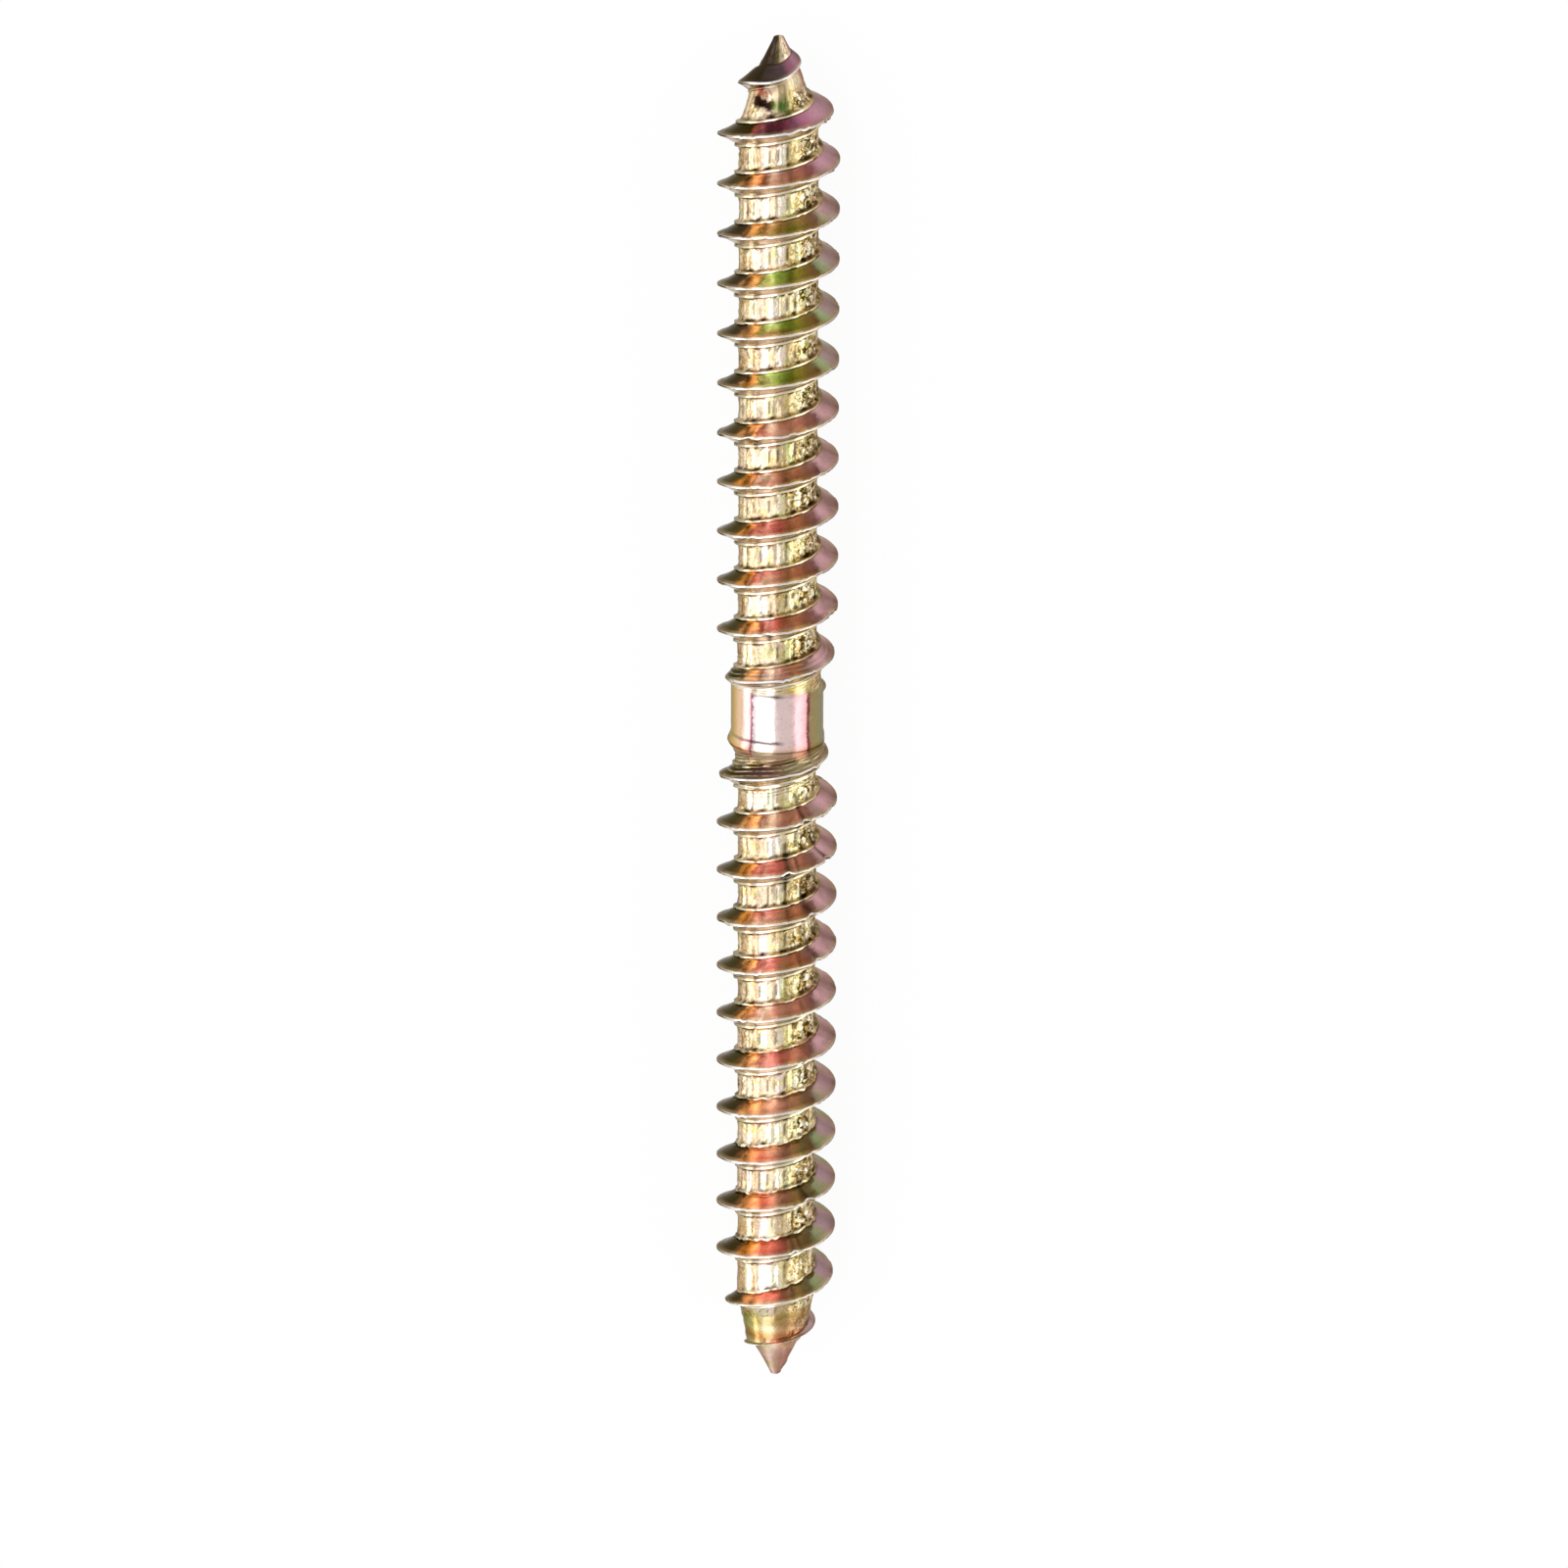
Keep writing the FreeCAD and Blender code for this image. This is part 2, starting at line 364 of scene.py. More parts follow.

    # What each zone of the thread shows, from 0 to 1, and where dark lines of painted shade run along it
    line = (DOWN_SHADE_LINES if faces_down else UP_SHADE_LINES).get(index, 0.0)
    if index in (FOOT_END, LAND):
        gap = 0.5 + grain(x, angle, 0.45, 61.0)
        line = max(0, gap - 0.25) * (0.8 if faces_down else 1.5) * rolled
    if index > LAND and step % BAR_STEPS == 0 and barred:
        line = 0.8 * rolled * smooth(0.2, 0.6, noise.cell(Vector((bar * 2.3, turn * 1.9, index * 0.31))))
    if near_run_out:
        line *= opened
    full_ridge = smooth(*RIDGE_SHOWS, ridge_in) if near_run_out else 1.0
    flank = FLANK_SHOWS.get(index, 0.0) * full_ridge
    land = rolled * smooth(*LAND_ENDS, x) * (1 - far_up)
    marks["up"].append(0.0 if faces_down else flank)
    marks["down"].append(flank if faces_down else 0.0)
    marks["foot"].append(FOOT_SHOWS.get(index, 0.0) * rolled * (1 - far_up))
    marks["crest"].append(CREST_SHOWS.get(index, 0.0) * full_ridge)
    marks["line"].append(min(1.0, line + 3 * nick))
    marks["collar"].append(plain)
    marks["tone"].append(0.6 + (tone - 0.6) * barred)
    marks["land"].append(land if index >= LAND else 0.0)
    marks["out"].append(out / HALF_PITCH)
    marks["young"].append(young)

for name in NAMES:
    layer = mesh.attributes.new(name, "FLOAT", "POINT")
    layer.data.foreach_set("value", marks[name])

# Both points end in a small blunt tip: cut square, then drawn in by three short steps
TIP_ROUND = 0.08
for end in (1, -1):
    bpy.ops.object.mode_set(mode="EDIT")
    bpy.ops.mesh.select_all(action="SELECT")
    cut = end * (HALF_LENGTH - TIP_ROUND) * MM
    bpy.ops.mesh.bisect(plane_co=(cut, 0, 0), plane_no=(end, 0, 0), clear_outer=True, threshold=1e-4 * MM)
    for forward, shrink in ((0.6, 0.8), (0.3, 0.6), (0.1, 0.5)):
        shift = (end * forward * TIP_ROUND * MM, 0, 0)
        bpy.ops.mesh.extrude_edges_move(TRANSFORM_OT_translate={"value": shift})
        bpy.ops.transform.resize(value=(1, shrink, shrink), center_override=(cut, 0, 0))
    bpy.ops.mesh.merge(type="CENTER")
    bpy.ops.object.mode_set(mode="OBJECT")

bpy.ops.object.mode_set(mode="EDIT")
bpy.ops.mesh.select_all(action="SELECT")
bpy.ops.mesh.remove_doubles(threshold=MERGE_WITHIN * MM)
bpy.ops.mesh.normals_make_consistent(inside=False)
bpy.ops.object.mode_set(mode="OBJECT")
bpy.ops.object.shade_smooth_by_angle(angle=math.radians(50))


# Yellow passivated zinc on rolled steel: a thin chromate film over bright metal, so it mirrors its
# surroundings softly and its hue drifts from gold to pink, magenta, olive and mauve with the film. Its colour
# round the axis also holds painted highlights, painted reflections and painted shade, set by which way each
# side faces.
def linear(code):
    parts = [int(code[i:i + 2], 16) / 255 for i in (1, 3, 5)]
    return [p / 12.92 if p <= 0.04045 else ((p + 0.055) / 1.055) ** 2.4 for p in parts] + [1.0]


def add(tree, kind, feeds, out=0, stops=(), **settings):
    node = tree.nodes.new(kind)
    for name, value in settings.items():
        setattr(node, name, value)
    if stops:
        ramp = node.color_ramp.elements
        while len(ramp) < len(stops):
            ramp.new(1.0)
        for element, (position, code) in zip(ramp, stops):
            element.position = position
            element.color = linear(code)
    for key, value in feeds.items():
        if isinstance(value, bpy.types.NodeSocket):
            tree.links.new(value, node.inputs[key])
        else:
            node.inputs[key].default_value = value
    return node.outputs[out]


finish = bpy.data.materials.new("yellow_passivated_zinc")
finish.use_nodes = True
tree = finish.node_tree
shader = tree.nodes["Principled BSDF"]
mark = {name: add(tree, "ShaderNodeAttribute", {}, out="Fac", attribute_name=name) for name in NAMES}
where = add(tree, "ShaderNodeTexCoord", {}, out="Object")
axes = add(tree, "ShaderNodeSeparateXYZ", {"Vector": where}).node
# Share of a half turn from the +Y side over the top to the -Y side, and back underneath
turned = add(tree, "ShaderNodeMath", {0: axes.outputs["Z"], 1: axes.outputs["Y"]}, operation="ARCTAN2")
turned = add(tree, "ShaderNodeMath", {0: turned}, operation="ABSOLUTE")
round_share = add(tree, "ShaderNodeMath", {0: turned, 1: math.pi}, operation="DIVIDE")
# Share of the length, from the -X end
ends = {"From Min": -HALF_LENGTH * MM, "From Max": HALF_LENGTH * MM}
x_share = add(tree, "ShaderNodeMapRange", {"Value": axes.outputs["X"], **ends})

# The film and its painted light drift over about 4 mm and streak over 0.5 mm, pits are 0.26 mm apart and
# specks
# 0.08 mm. Most of a noise lies within NOISE_SPAN. On the collar the bands of film and painted reflection stay
# straight, with a fine edge.
NOISE_SPAN = {"From Min": 0.3, "From Max": 0.7}
drift = add(tree, "ShaderNodeTexNoise", {"Vector": where, "Scale": 1 / (4 * MM), "Detail": 2.0})
streak = add(tree, "ShaderNodeTexNoise", {"Vector": where, "Scale": 1 / (0.5 * MM), "Detail": 3.0})
speck = add(tree, "ShaderNodeTexNoise", {"Vector": where, "Scale": 1 / (0.08 * MM), "Detail": 2.0})
speckle_noise = add(tree, "ShaderNodeTexNoise", {
    "Vector": where, "Scale": 1 / (0.26 * MM), "Detail": 2.0, "Distortion": 1.0,
})
shift = add(tree, "ShaderNodeMapRange", {"Value": drift, **NOISE_SPAN, "To Min": -0.03, "To Max": 0.03})
fine = add(tree, "ShaderNodeMapRange", {"Value": streak, **NOISE_SPAN, "To Min": -0.025, "To Max": 0.025})
# Share round the axis with drift: the film's hue and the painted light and shade both follow it
film_and_painted_light = add(tree, "ShaderNodeMath", {0: round_share, 1: shift}, operation="ADD")
film_and_painted_light = add(tree, "ShaderNodeMath", {0: film_and_painted_light, 1: fine}, operation="ADD")
edge = add(tree, "ShaderNodeMapRange", {"Value": speckle_noise, **NOISE_SPAN, "To Min": -0.008, "To Max": 0.008})
straight = add(tree, "ShaderNodeMath", {0: round_share, 1: edge}, operation="ADD")

# The +X flanks' colours round the axis, each with the share of the length where it shows: the film's hues,
# with painted shade in the dark bands towards the +Y side and painted highlights in the pale and bright bands
FLANK_FILMS_AND_PAINTED_LIGHT = (
    ("warm", [(0.0, "#ffffff")], [
        (0.0, "#262614"), (0.1, "#32341a"), (0.19, "#403a20"), (0.24, "#6c4c2c"), (0.29, "#ffb46c"),
        (0.34, "#ffb47c"), (0.38, "#a06850"), (0.44, "#ffe4d4"), (0.5, "#d8a090"), (0.56, "#c89080"),
        (0.65, "#ac746c"), (0.74, "#a08078"), (0.84, "#cc9ca0"), (0.92, "#ac8484"), (1.0, "#906c6c"),
    ]),
    ("olive low", [(0.215, "#ffffff"), (0.24, "#000000")], [
        (0.0, "#20200e"), (0.1, "#2a2816"), (0.2, "#3a2e1c"), (0.25, "#7c5230"), (0.3, "#ffac64"),
        (0.38, "#e8a074"), (0.46, "#f8b89c"), (0.55, "#a0705c"), (0.65, "#7c6844"), (0.72, "#7c7450"),
        (0.79, "#8c9468"), (0.85, "#94906c"), (0.9, "#a8868c"), (1.0, "#94787c"),
    ]),
    ("low run-out", [(0.448, "#000000"), (0.455, "#ffffff"), (0.483, "#ffffff"), (0.487, "#000000")], [
        (0.0, "#302c18"), (0.15, "#382f18"), (0.25, "#4c3824"), (0.35, "#5c3c38"), (0.45, "#7c5448"),
        (0.55, "#988060"), (0.65, "#b0a074"), (0.8, "#a08868"), (1.0, "#887460"),
    ]),
    ("green", [(0.735, "#000000"), (0.76, "#ffffff"), (0.87, "#ffffff"), (0.885, "#000000")], [
        (0.0, "#1a180c"), (0.1, "#1e1e10"), (0.19, "#302c1e"), (0.24, "#583c2c"), (0.3, "#ffbc74"),
        (0.34, "#f8b46c"), (0.38, "#948a48"), (0.44, "#e4ffa8"), (0.5, "#98b850"), (0.58, "#74802c"),
        (0.66, "#8c8040"), (0.74, "#908454"), (0.81, "#98a878"), (0.88, "#a48c88"), (1.0, "#947878"),
    ]),
    ("last ridge", [(0.046, "#ffffff"), (0.054, "#000000")], [
        (0.0, "#706848"), (0.3, "#a89868"), (0.45, "#f0dcb4"), (0.6, "#c09c7c"), (0.75, "#a88c7c"),
        (0.9, "#b09090"), (1.0, "#907870"),
    ]),
    ("purple", [(0.905, "#000000"), (0.92, "#ffffff")], [
        (0.0, "#2a2816"), (0.2, "#242210"), (0.29, "#342a1c"), (0.33, "#a05850"), (0.38, "#6c3c48"),
        (0.46, "#64404c"), (0.56, "#74485c"), (0.66, "#a8687c"), (0.8, "#c08c9c"), (1.0, "#a88490"),
    ]),
    ("top ridge", [(0.95, "#000000"), (0.96, "#ffffff")], [
        (0.0, "#3c3428"), (0.3, "#342c24"), (0.42, "#50403c"), (0.55, "#604c50"), (0.66, "#a06878"),
        (0.8, "#a87888"), (1.0, "#705c64"),
    ]),
)
# And those along the root, where the white and cream bands are painted highlights and the darker ends painted
# shade
ROOT_FILMS_AND_PAINTED_LIGHT = (
    ("root", [(0.0, "#ffffff")], [
        (0.0, "#a89880"), (0.06, "#e0d0ac"), (0.18, "#f0dcbc"), (0.26, "#fff4dc"), (0.31, "#f4e0cc"),
        (0.38, "#fffdf8"), (0.45, "#fffcf4"), (0.52, "#fff6e4"), (0.58, "#f0e8b0"), (0.68, "#fff4bc"),
        (0.75, "#b09c60"), (0.84, "#e4d0a8"), (0.93, "#c8b08c"), (1.0, "#807050"),
    ]),
    ("filled", [(0.05, "#ffffff"), (0.065, "#000000")], [
        (0.0, "#888868"), (0.22, "#acac7c"), (0.33, "#d8d0a4"), (0.4, "#fffaec"), (0.46, "#fff8ec"),
        (0.52, "#e0c4a0"), (0.62, "#b89478"), (0.75, "#bc9478"), (0.9, "#a88870"), (1.0, "#806c5c"),
    ]),
    ("low nose", [(0.022, "#ffffff"), (0.028, "#000000")], [
        (0.0, "#806c60"), (0.25, "#b89888"), (0.38, "#fce8dc"), (0.46, "#dcb4a4"), (0.6, "#b88c80"),
        (0.75, "#a07468"), (1.0, "#785c50"),
    ]),
    ("low run-out", [(0.464, "#000000"), (0.469, "#e0e0e0"), (0.484, "#e0e0e0"), (0.488, "#000000")], [
        (0.0, "#605038"), (0.25, "#6c6040"), (0.36, "#a08c64"), (0.5, "#b08478"), (0.65, "#98805c"),
        (0.8, "#b8a078"), (1.0, "#807058"),
    ]),
    ("top nose", [(0.962, "#000000"), (0.97, "#ffffff")], [
        (0.0, "#504c48"), (0.3, "#3c3430"), (0.42, "#48403a"), (0.5, "#787858"), (0.55, "#e4e0c0"),
        (0.6, "#fffdf0"), (0.82, "#fffaf4"), (0.9, "#d09ca0"), (1.0, "#806c70"),
    ]),
)
zoned = []
for films in (FLANK_FILMS_AND_PAINTED_LIGHT, ROOT_FILMS_AND_PAINTED_LIGHT):
    colour = linear("#000000")
    for name, zone, stops in films:
        zone_share = add(tree, "ShaderNodeValToRGB", {"Fac": x_share}, stops=zone, label=name)
        zone_film_and_light = add(tree, "ShaderNodeValToRGB", {"Fac": film_and_painted_light}, stops=stops, label=name)
        colour = add(tree, "ShaderNodeMix", {0: zone_share, 6: colour, 7: zone_film_and_light}, out=2, data_type="RGBA")
    zoned.append(colour)
up_flank, land_colour = zoned

# Patches of the flank, a few millimetres long, blush rose, cream or straw: size of the patches in mm, where
# the noise starts and ends a patch, the part of the round where they show, and the colour
for patch, low, high, zone, shade in (
    (3.1, 0.5, 0.58, [(0.34, "#000000"), (0.4, "#ffffff"), (0.52, "#ffffff"), (0.6, "#000000")], "#f8bcc4"),
    (4.3, 0.5, 0.6, [(0.5, "#000000"), (0.56, "#ffffff"), (0.68, "#ffffff"), (0.78, "#000000")], "#ece4cc"),
    (3.7, 0.5, 0.6, [(0.22, "#000000"), (0.27, "#ffffff"), (0.3, "#ffffff"), (0.36, "#000000")], "#f4e49c"),
):
    blush = add(tree, "ShaderNodeTexNoise", {"Vector": where, "Scale": 1 / (patch * MM), "Detail": 0.0})
    blush = add(tree, "ShaderNodeMapRange", {"Value": blush, "From Min": low, "From Max": high})
    zone_share = add(tree, "ShaderNodeValToRGB", {"Fac": film_and_painted_light}, stops=zone)
    blush = add(tree, "ShaderNodeMath", {0: blush, 1: zone_share}, operation="MULTIPLY")
    up_flank = add(tree, "ShaderNodeMix", {0: blush, 6: up_flank, 7: linear(shade)}, out=2, data_type="RGBA",
                   blend_type="MULTIPLY")

# The -X flanks and the raised foot are painted paler as painted light, darker towards the sides as painted
# shade, with painted highlights in their brightest bands
down_flank = add(tree, "ShaderNodeValToRGB", {"Fac": film_and_painted_light}, stops=[
    (0.0, "#3c342c"), (0.06, "#584c3c"), (0.11, "#fff0dc"), (0.18, "#fff2e0"), (0.26, "#fff0e0"),
    (0.32, "#e0d0bc"), (0.38, "#fff0e2"), (0.47, "#ffecde"), (0.56, "#fcf0dc"), (0.64, "#e4d4b8"),
    (0.75, "#d8c8a8"), (0.85, "#d8b4a8"), (0.93, "#c49898"), (1.0, "#806864"),
])
foot_colour = add(tree, "ShaderNodeValToRGB", {"Fac": film_and_painted_light}, stops=[
    (0.0, "#a09880"), (0.15, "#b8ac90"), (0.25, "#dcd0b0"), (0.31, "#c0b090"), (0.38, "#fff0e0"),
    (0.45, "#fff4e0"), (0.53, "#e8d8b0"), (0.6, "#f4ecc8"), (0.7, "#fff0cc"), (0.78, "#dcc898"),
    (0.88, "#b8a070"), (1.0, "#807058"),
])

# The root has rings on the -X nose, painted as bands of colour with a painted highlight among them, patches
# of tint 0.9 mm across, and bars that differ in hue and lightness
nose_rings_and_highlight = add(tree, "ShaderNodeValToRGB", {"Fac": x_share}, stops=[
    (0.03, "#ffffff"), (0.034, "#d8a078"), (0.038, "#e8bc98"), (0.041, "#c8b480"), (0.0435, "#fffce8"),
    (0.048, "#c8c490"), (0.054, "#dcd8a8"), (0.06, "#ffffff"),
])
tint = add(tree, "ShaderNodeTexNoise", {"Vector": where, "Scale": 1 / (0.9 * MM), "Detail": 1.0})
tint = add(tree, "ShaderNodeValToRGB", {"Fac": tint}, stops=[
    (0.3, "#fff0a8"), (0.42, "#ffffff"), (0.5, "#ffece4"), (0.58, "#ffffff"), (0.68, "#e8f4b8"),
])
bar_tint = add(tree, "ShaderNodeValToRGB", {"Fac": mark["tone"]}, stops=[
    (0.05, "#f0dcc0"), (0.2, "#fffaf0"), (0.4, "#ffffff"), (0.55, "#ffeef0"), (0.65, "#ffffff"),
    (0.8, "#fafcdc"), (0.95, "#ece4c8"),
])
for strength, tone_colour in ((1.0, nose_rings_and_highlight), (0.6, tint), (0.9, bar_tint)):
    land_colour = add(tree, "ShaderNodeMix", {0: strength, 6: land_colour, 7: tone_colour}, out=2,
                      data_type="RGBA", blend_type="MULTIPLY")
bar_light = add(tree, "ShaderNodeMapRange", {"Value": mark["tone"], "To Min": 0.85, "To Max": 1.2})
land_colour = add(tree, "ShaderNodeHueSaturation", {"Value": bar_light, "Color": land_colour})

# The collar mirrors in straight bands, painted into its colour as the film's hues with painted reflections:
# white and pink highlights, thin dark lines between them, darker olive and grey towards the sides. Under its
# lower rim it narrows in a pinkish brown band of painted shade, with a dark line of painted shade above and
# below.
collar_film_and_reflection = add(tree, "ShaderNodeValToRGB", {"Fac": straight}, stops=[
    (0.0, "#605c40"), (0.06, "#b8a868"), (0.13, "#d4b478"), (0.19, "#ecc8a0"), (0.24, "#e4bcac"),
    (0.305, "#dca8a8"), (0.311, "#a06474"), (0.319, "#a06474"), (0.329, "#f8e4e8"), (0.36, "#fffafa"),
    (0.45, "#fffcfa"), (0.5, "#f4dcd8"), (0.58, "#f4d8d4"), (0.66, "#f0bcc0"), (0.718, "#d89c9c"),
    (0.727, "#804c4c"), (0.738, "#784844"), (0.75, "#a08460"), (0.82, "#948c60"), (0.89, "#949078"),
    (0.95, "#988474"), (1.0, "#605c58"),
])
under_rim = {"From Min": -2 * MM, "From Max": 0.0}
rim_share = add(tree, "ShaderNodeMapRange", {"Value": axes.outputs["X"], **under_rim})
rim_painted_shade = add(tree, "ShaderNodeValToRGB", {"Fac": rim_share}, stops=[
    (0.28, "#6c5c44"), (0.34, "#b49c80"), (0.46, "#c8b494"), (0.5, "#bca88c"), (0.53, "#705c44"),
    (0.56, "#e8dcc8"), (0.63, "#fff8ec"), (0.7, "#ffffff"),
])
collar_film_and_reflection = add(tree, "ShaderNodeMix", {0: 1.0, 6: collar_film_and_reflection, 7: rim_painted_shade}, out=2,
                    data_type="RGBA", blend_type="MULTIPLY")
colour = land_colour
for name, zone_colour in (
    ("foot", foot_colour), ("up", up_flank), ("down", down_flank), ("collar", collar_film_and_reflection),
):
    colour = add(tree, "ShaderNodeMix", {0: mark[name], 6: colour, 7: zone_colour}, out=2, data_type="RGBA")

# Dark and pale specks in the root, the pale ones painted glints, most of them on the -Y side over the top and
# fewest under its painted highlight: this spread round the axis is painted light and shade. Fewer specks
# elsewhere
speckle_zone = add(tree, "ShaderNodeValToRGB", {"Fac": film_and_painted_light}, stops=[
    (0.0, "#a0a0a0"), (0.22, "#a8a8a8"), (0.32, "#606060"), (0.55, "#707070"), (0.64, "#d0d0d0"),
    (0.7, "#ffffff"), (0.88, "#f0f0f0"), (1.0, "#a0a0a0"),
])
speckle_zone = add(tree, "ShaderNodeMath", {0: speckle_zone, 1: mark["land"]}, operation="MULTIPLY")
for low, high, shade in ((0.47, 0.4, "#fffae0"), (0.54, 0.6, "#3c3010")):
    pits = add(tree, "ShaderNodeMapRange", {"Value": speckle_noise, "From Min": low, "From Max": high})
    pits = add(tree, "ShaderNodeMath", {0: pits, 1: speckle_zone}, operation="MULTIPLY")
    colour = add(tree, "ShaderNodeMix", {0: pits, 6: colour, 7: linear(shade)}, out=2, data_type="RGBA")
specks = add(tree, "ShaderNodeMapRange", {"Value": speck, "From Min": 0.6, "From Max": 0.72, "To Max": 0.4})
colour = add(tree, "ShaderNodeMix", {0: specks, 6: colour, 7: linear("#a07860")}, out=2, data_type="RGBA",
             blend_type="MULTIPLY")
# Painted shade: dark lines along the creases, under the crest, beside the foot and between the bars, and in
# the nicks
line_brown = linear("#3a2a14")
colour = add(tree, "ShaderNodeMix", {0: mark["line"], 6: colour, 7: line_brown}, out=2, data_type="RGBA")
# The crest is painted bright as a painted highlight, least at the sides
crest_highlight = add(tree, "ShaderNodeMapRange", {"Value": mark["crest"], "From Min": 0.35, "From Max": 0.9})
crest_colour = add(tree, "ShaderNodeValToRGB", {"Fac": film_and_painted_light}, stops=[
    (0.0, "#70685c"), (0.1, "#8c8474"), (0.2, "#f0ece4"), (0.3, "#fcfaf8"), (0.6, "#fcfaf8"),
    (0.74, "#f0e8e0"), (0.86, "#b0a098"), (1.0, "#807070"),
])
colour = add(tree, "ShaderNodeMix", {0: crest_highlight, 6: colour, 7: crest_colour}, out=2, data_type="RGBA")

# The young thread beside the collar shows the steps of the die, 0.17 mm apart, with painted shade below each
# step and a painted highlight above it
DIE_STEP = 0.17
steps = add(tree, "ShaderNodeMapRange", {"Value": mark["out"], "To Max": FULL_TURN * HALF_PITCH / DIE_STEP})
wander = add(tree, "ShaderNodeMapRange", {"Value": drift, "To Min": -8.0, "To Max": 8.0})
steps = add(tree, "ShaderNodeMath", {0: steps, 1: wander}, operation="ADD")
steps = add(tree, "ShaderNodeMath", {0: steps}, operation="SINE")
patchy = add(tree, "ShaderNodeMapRange", {"Value": streak, "From Min": 0.35, "From Max": 0.6})
patchy = add(tree, "ShaderNodeMath", {0: patchy, 1: mark["young"]}, operation="MULTIPLY")
for low, high, shade in ((0.2, 0.8, "#2c2010"), (-0.3, -0.9, "#f0e4c0")):
    near = add(tree, "ShaderNodeMapRange", {"Value": steps, "From Min": low, "From Max": high})
    near = add(tree, "ShaderNodeMath", {0: near, 1: patchy}, operation="MULTIPLY")
    colour = add(tree, "ShaderNodeMix", {0: near, 6: colour, 7: linear(shade)}, out=2, data_type="RGBA")

# Two creases run round the collar with painted shade in them, over part of the round: over its lower rim, and
# where the thread starts above it
CREASE_WIDTH = 0.13
CREASE_WANDER = 0.06
for at, zone in (
    (-0.47, [(0.04, "#000000"), (0.12, "#a0a0a0"), (0.3, "#ffffff"), (0.5, "#ffffff"), (0.56, "#000000")]),
    (1.95, [(0.3, "#000000"), (0.34, "#c0c0c0"), (0.5, "#ffffff"), (0.56, "#808080"), (1.0, "#404040")]),
):
    wander = add(tree, "ShaderNodeMapRange", {
        "Value": streak, "To Min": (at - CREASE_WANDER) * MM, "To Max": (at + CREASE_WANDER) * MM,
    })
    away = add(tree, "ShaderNodeMath", {0: axes.outputs["X"], 1: wander}, operation="SUBTRACT")
    away = add(tree, "ShaderNodeMath", {0: away}, operation="ABSOLUTE")
    near = add(tree, "ShaderNodeMapRange", {"Value": away, "From Min": CREASE_WIDTH * MM, "From Max": 0.0})
    zone_share = add(tree, "ShaderNodeValToRGB", {"Fac": round_share}, stops=zone)
    near = add(tree, "ShaderNodeMath", {0: near, 1: zone_share}, operation="MULTIPLY")
    colour = add(tree, "ShaderNodeMix", {0: near, 6: colour, 7: linear("#54383a")}, out=2, data_type="RGBA")

# The hollow in the +X point is darkened with painted shade, red-brown on its +X side, with a green stain
# beside it:
# place along X, degrees round the axis, distances at which each spot starts and is full, and colour
HOLLOW_R = 1.42
SPOT_WANDER = 0.3
for at, at_degrees, starts, full, shade in (
    (32.35, 50, 0.6, 0.3, "#8c5440"), (32.02, 41, 0.4, 0.2, "#2c1812"), (31.94, 55, 0.42, 0.22, "#20140e"),
    (31.86, 69, 0.38, 0.18, "#2c1812"), (31.85, 98, 0.66, 0.12, "#586c30"),
):
    at_angle = math.radians(at_degrees)
    spot = Vector((at, HOLLOW_R * math.cos(at_angle), HOLLOW_R * math.sin(at_angle))) * MM
    away = add(tree, "ShaderNodeVectorMath", {0: where, 1: spot}, out="Value", operation="DISTANCE")
    spread = {"To Min": -SPOT_WANDER * MM, "To Max": SPOT_WANDER * MM}
    wander = add(tree, "ShaderNodeMapRange", {"Value": streak, **spread})
    away = add(tree, "ShaderNodeMath", {0: away, 1: wander}, operation="ADD")
    near = add(tree, "ShaderNodeMapRange", {"Value": away, "From Min": starts * MM, "From Max": full * MM})
    colour = add(tree, "ShaderNodeMix", {0: near, 6: colour, 7: linear(shade)}, out=2, data_type="RGBA")

tree.links.new(colour, shader.inputs["Base Color"])
shader.inputs["Metallic"].default_value = 1.0
shader.inputs["Specular Tint"].default_value = linear("#d0c8bc")
gloss = add(tree, "ShaderNodeMapRange", {"Value": streak, **NOISE_SPAN, "To Min": 0.14, "To Max": 0.3})
tree.links.new(gloss, shader.inputs["Roughness"])
# Rolled skin: shallow ripples of 0.12 mm, deeper in the root
ripple = add(tree, "ShaderNodeTexNoise", {"Vector": where, "Scale": 1 / (0.12 * MM), "Detail": 3.0})
ripple_depth = add(tree, "ShaderNodeMapRange", {"Value": mark["land"], "To Min": 0.15, "To Max": 0.7})
bump = add(tree, "ShaderNodeBump", {"Height": ripple, "Strength": ripple_depth, "Distance": 0.03 * MM})
tree.links.new(bump, shader.inputs["Normal"])

mesh.materials.clear()
mesh.materials.append(finish)
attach(screw, "root")
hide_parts("dowel_screw")

# Floor: a plain white sheet that the screw lies on. The camera, the metal and glass see it evenly white, and
# it still takes a faint shadow.
FLOOR_SIZE = 4.0
FLOOR_GLOW = 0.93
bpy.ops.object.select_all(action="DESELECT")
bpy.ops.mesh.primitive_plane_add(size=FLOOR_SIZE, location=(0, 0, -CREST_R * MM))
floor = bpy.context.object
floor.name = "floor"
paper = bpy.data.materials.new("white_paper")
paper.use_nodes = True
tree = paper.node_tree
base = tree.nodes["Principled BSDF"]
base.inputs["Base Color"].default_value = linear("#f6f6f6")
base.inputs["Roughness"].default_value = 0.9
glow = add(tree, "ShaderNodeEmission", {"Color": linear("#ffffff"), "Strength": 1.0})
rays = add(tree, "ShaderNodeLightPath", {}).node.outputs
seen = rays["Is Camera Ray"]
for ray in ("Is Glossy Ray", "Is Transmission Ray"):
    seen = add(tree, "ShaderNodeMath", {0: seen, 1: rays[ray]}, operation="MAXIMUM")
seen = add(tree, "ShaderNodeMath", {0: seen, 1: FLOOR_GLOW}, operation="MULTIPLY")
blend = add(tree, "ShaderNodeMixShader", {0: seen, 1: base.outputs[0], 2: glow})
tree.links.new(blend, tree.nodes["Material Output"].inputs["Surface"])
floor.data.materials.append(paper)

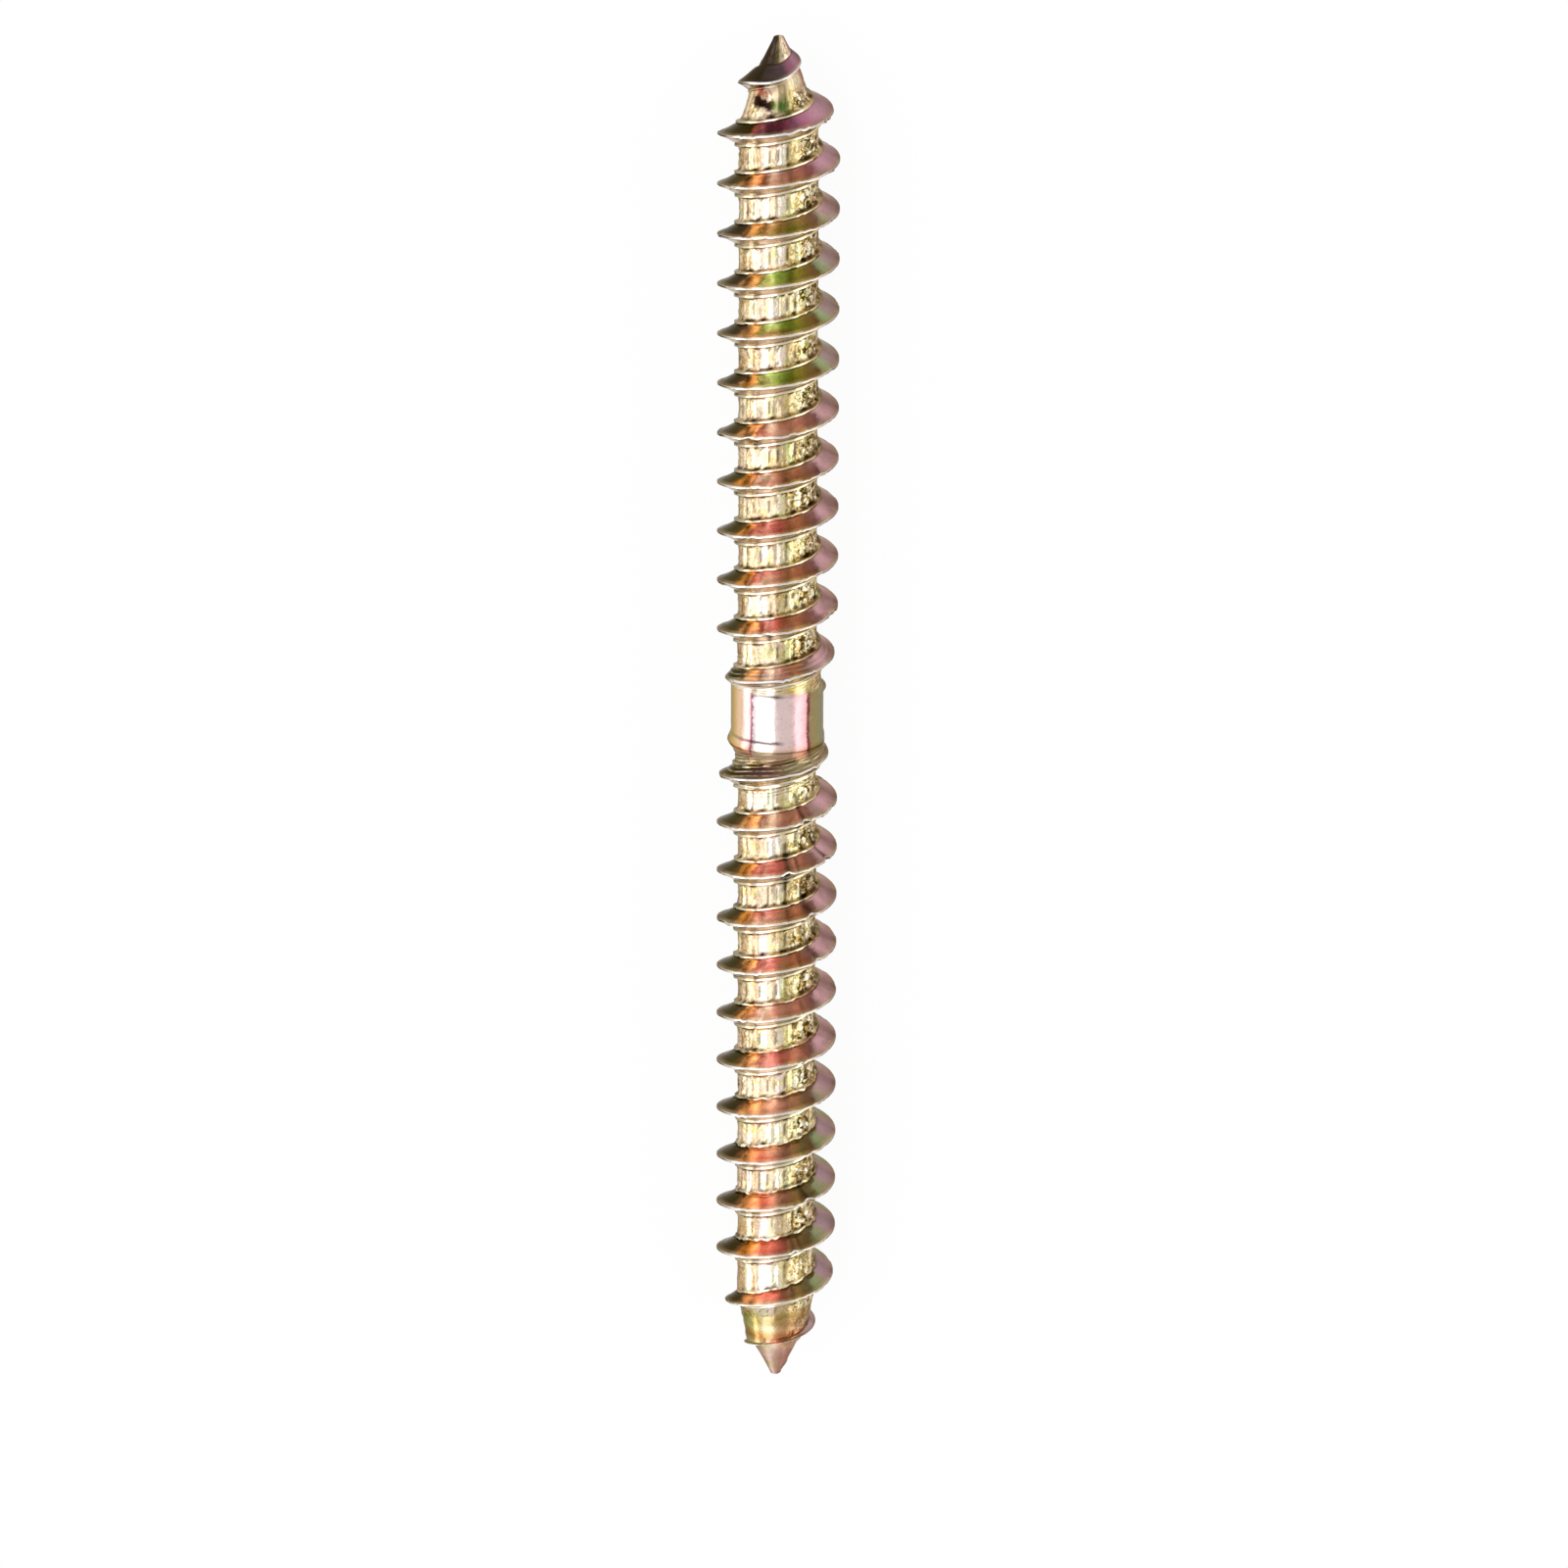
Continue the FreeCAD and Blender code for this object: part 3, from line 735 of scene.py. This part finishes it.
# Studio: white surroundings and three long soft boxes beside the screw, two on the left of the picture and
# one on the right, all turned to its axis
WORLD_LIGHT = 0.72
BOX_LENGTH = 1.1
world = bpy.data.worlds.new("studio")
bpy.context.scene.world = world
world.use_nodes = True
world.node_tree.nodes["Background"].inputs["Color"].default_value = linear("#ffffff")
world.node_tree.nodes["Background"].inputs["Strength"].default_value = WORLD_LIGHT
for name, place, width, power in (
    ("soft_box_left", (-0.1, 0.3, 0.52), 0.5, 2.0),
    ("soft_box_right", (-0.1, -0.53, 0.28), 0.34, 1.2),
    ("soft_box_low", (-0.1, 0.62, 0.1), 0.24, 1.8),
):
    light = bpy.data.lights.new(name, "AREA")
    light.shape = "RECTANGLE"
    light.size = BOX_LENGTH
    light.size_y = width
    light.energy = power
    lamp = bpy.data.objects.new(name, light)
    bpy.context.scene.collection.objects.link(lamp)
    lamp.location = place
    toward = Vector((0, -place[1], -place[2]))
    lamp.rotation_euler = toward.to_track_quat("-Z", "Y").to_euler()

# Camera: long lens, looking down on the screw with its +X end at the top of the picture. Focal length and
# centre are in pixels of the 1600 x 1600 image.
LEAN = math.radians(18.37)
ROLL = math.radians(0.16)
DISTANCE = 0.4573
IMAGE = 1600
FOCAL = 9390
CENTRE_X = 792.95
CENTRE_Y = 734.97
back = Vector((math.sin(LEAN), 0, math.cos(LEAN)))
up = Vector((math.cos(LEAN), 0, -math.sin(LEAN)))
right = up.cross(back)
lens = bpy.data.cameras.new("camera")
lens.sensor_width = 36.0
lens.lens = FOCAL * lens.sensor_width / IMAGE
lens.shift_x = (IMAGE / 2 - CENTRE_X) / IMAGE
lens.shift_y = (CENTRE_Y - IMAGE / 2) / IMAGE
lens.clip_start = 0.01
camera = bpy.data.objects.new("camera", lens)
bpy.context.scene.collection.objects.link(camera)
turn_to = Matrix((right, up, back)).transposed() @ Matrix.Rotation(ROLL, 3, "Z")
camera.matrix_world = Matrix.Translation(back * DISTANCE) @ turn_to.to_4x4()
bpy.context.scene.camera = camera
bpy.context.scene.view_settings.view_transform = "Standard"
